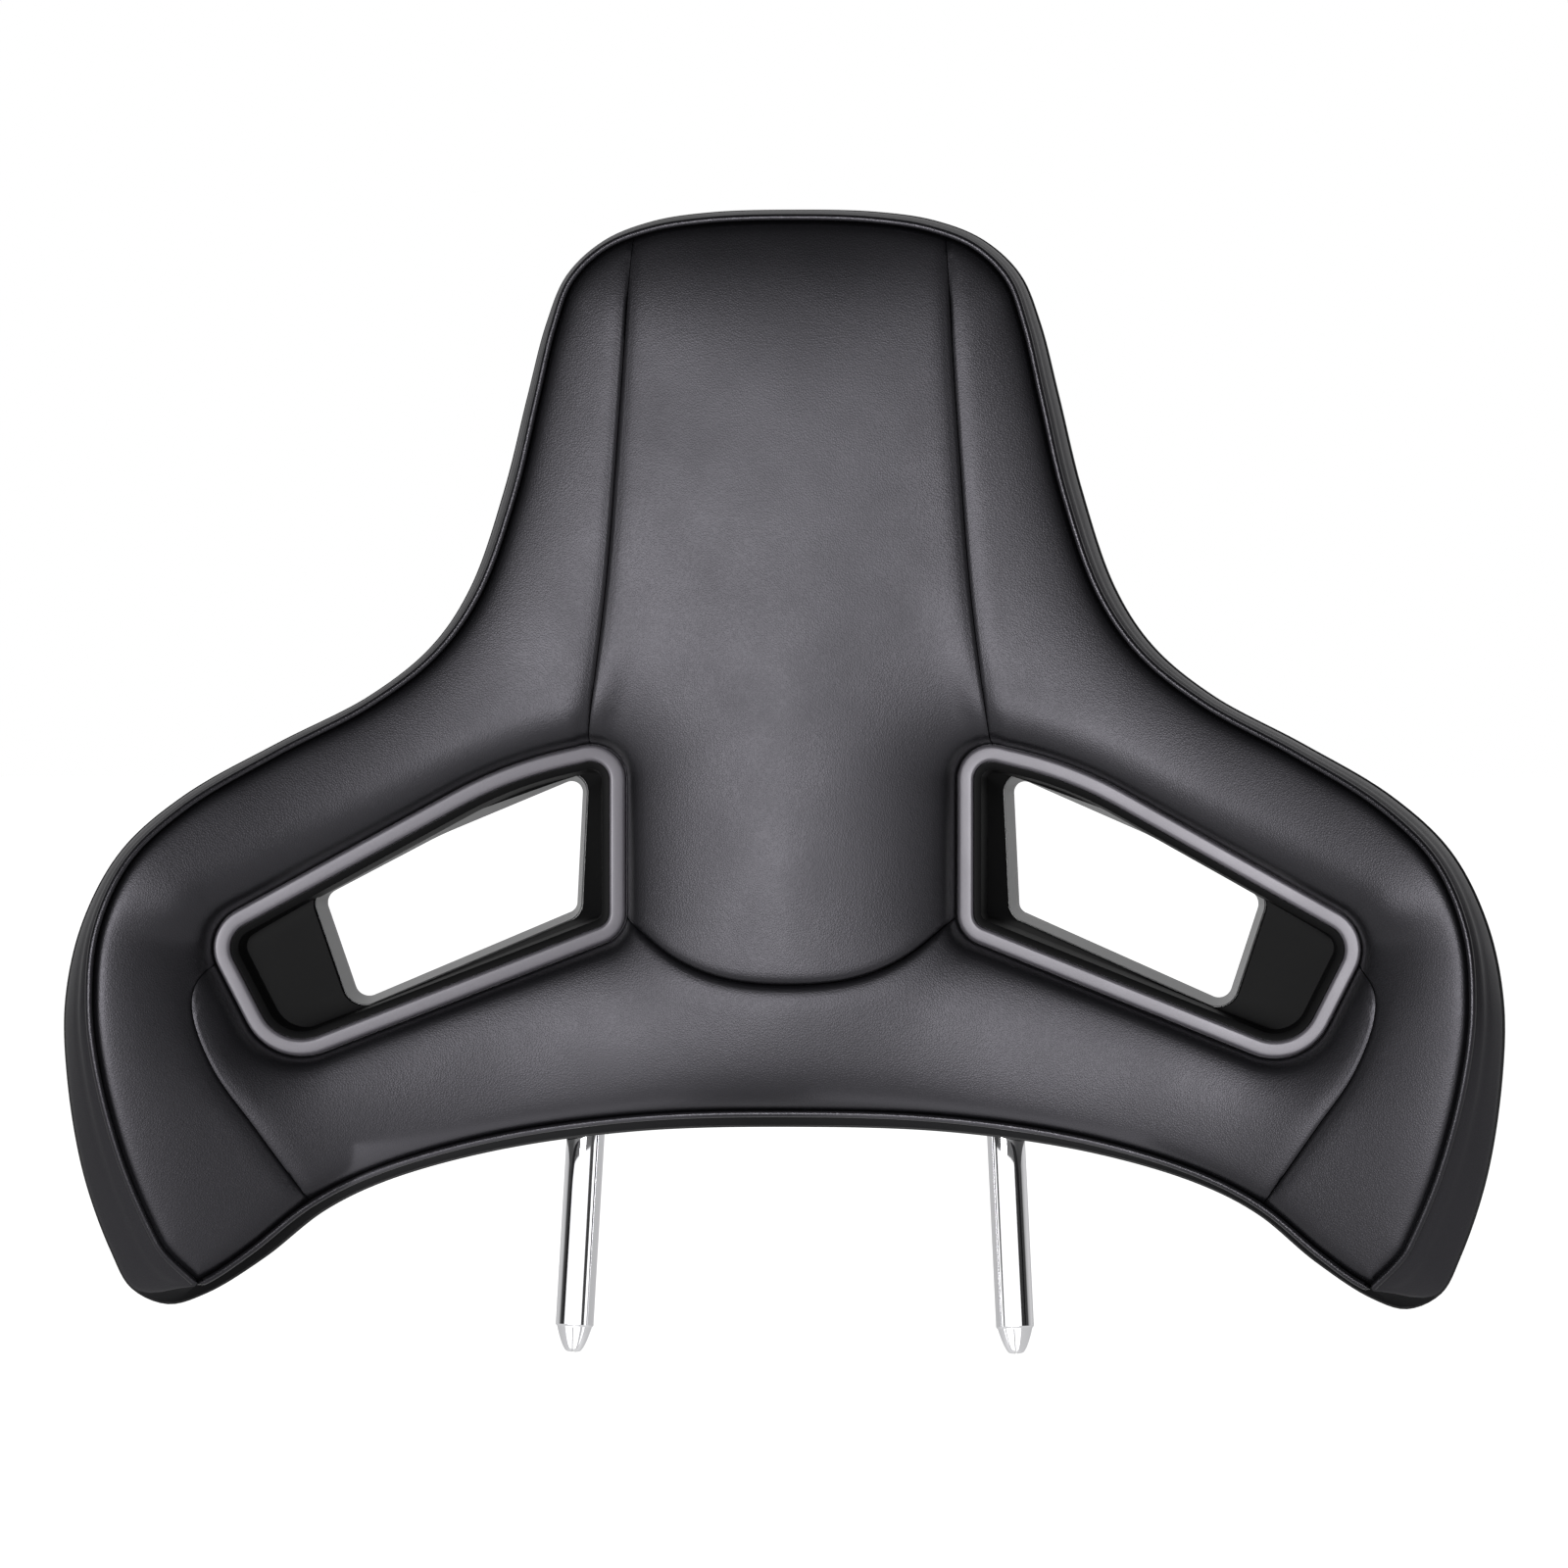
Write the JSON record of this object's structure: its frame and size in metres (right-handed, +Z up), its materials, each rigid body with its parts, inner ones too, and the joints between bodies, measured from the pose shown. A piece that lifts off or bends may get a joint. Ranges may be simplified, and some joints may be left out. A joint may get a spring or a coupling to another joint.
{
  "type": "car headrest",
  "caption": "Winged leather-covered car seat headrest with framed see-through openings and a bent steel hoop whose chrome posts plug into the seat back.",
  "frame": {"origin": "midway between the end faces of the two posts", "axes": "+X to picture right (the sitter's left), -Y out of the padded front face, +Z up along the object as it sits on a seat back"},
  "size_m": [0.5256, 0.1143, 0.4215],
  "materials": {
    "black_leather": "fine-grained, soft sheen",
    "piping_leather": "tight piping, satin",
    "polyurethane_foam": "open-cell foam",
    "carrier_plastic": "as moulded",
    "black_plastic": "fine texture",
    "bezel_paint": "satin grey",
    "chrome": "bright",
    "steel": "bare, hidden"
  },
  "bodies": {
    "root": {"centre_panel": "black_leather", "side_panel_left": "black_leather", "side_panel_right": "black_leather", "lower_panel": "black_leather", "side_band": "black_leather", "edge_piping": "piping_leather", "lower_piping": "piping_leather", "foam_core": "polyurethane_foam", "front_carrier": "carrier_plastic", "rear_shell": "black_plastic", "lower_trim": "black_plastic", "tunnel_left": "black_plastic", "tunnel_right": "black_plastic", "post_grommet_left": "black_plastic", "post_grommet_right": "black_plastic", "bezel_left": "bezel_paint", "bezel_right": "bezel_paint", "post_hoop": "chrome", "frame_plate": "steel", "hoop_clamp_left": "steel", "hoop_clamp_right": "steel", "clamp_screw_1": "steel", "clamp_screw_2": "steel", "clamp_screw_3": "steel", "clamp_screw_4": "steel"}
  },
  "joints": []
}
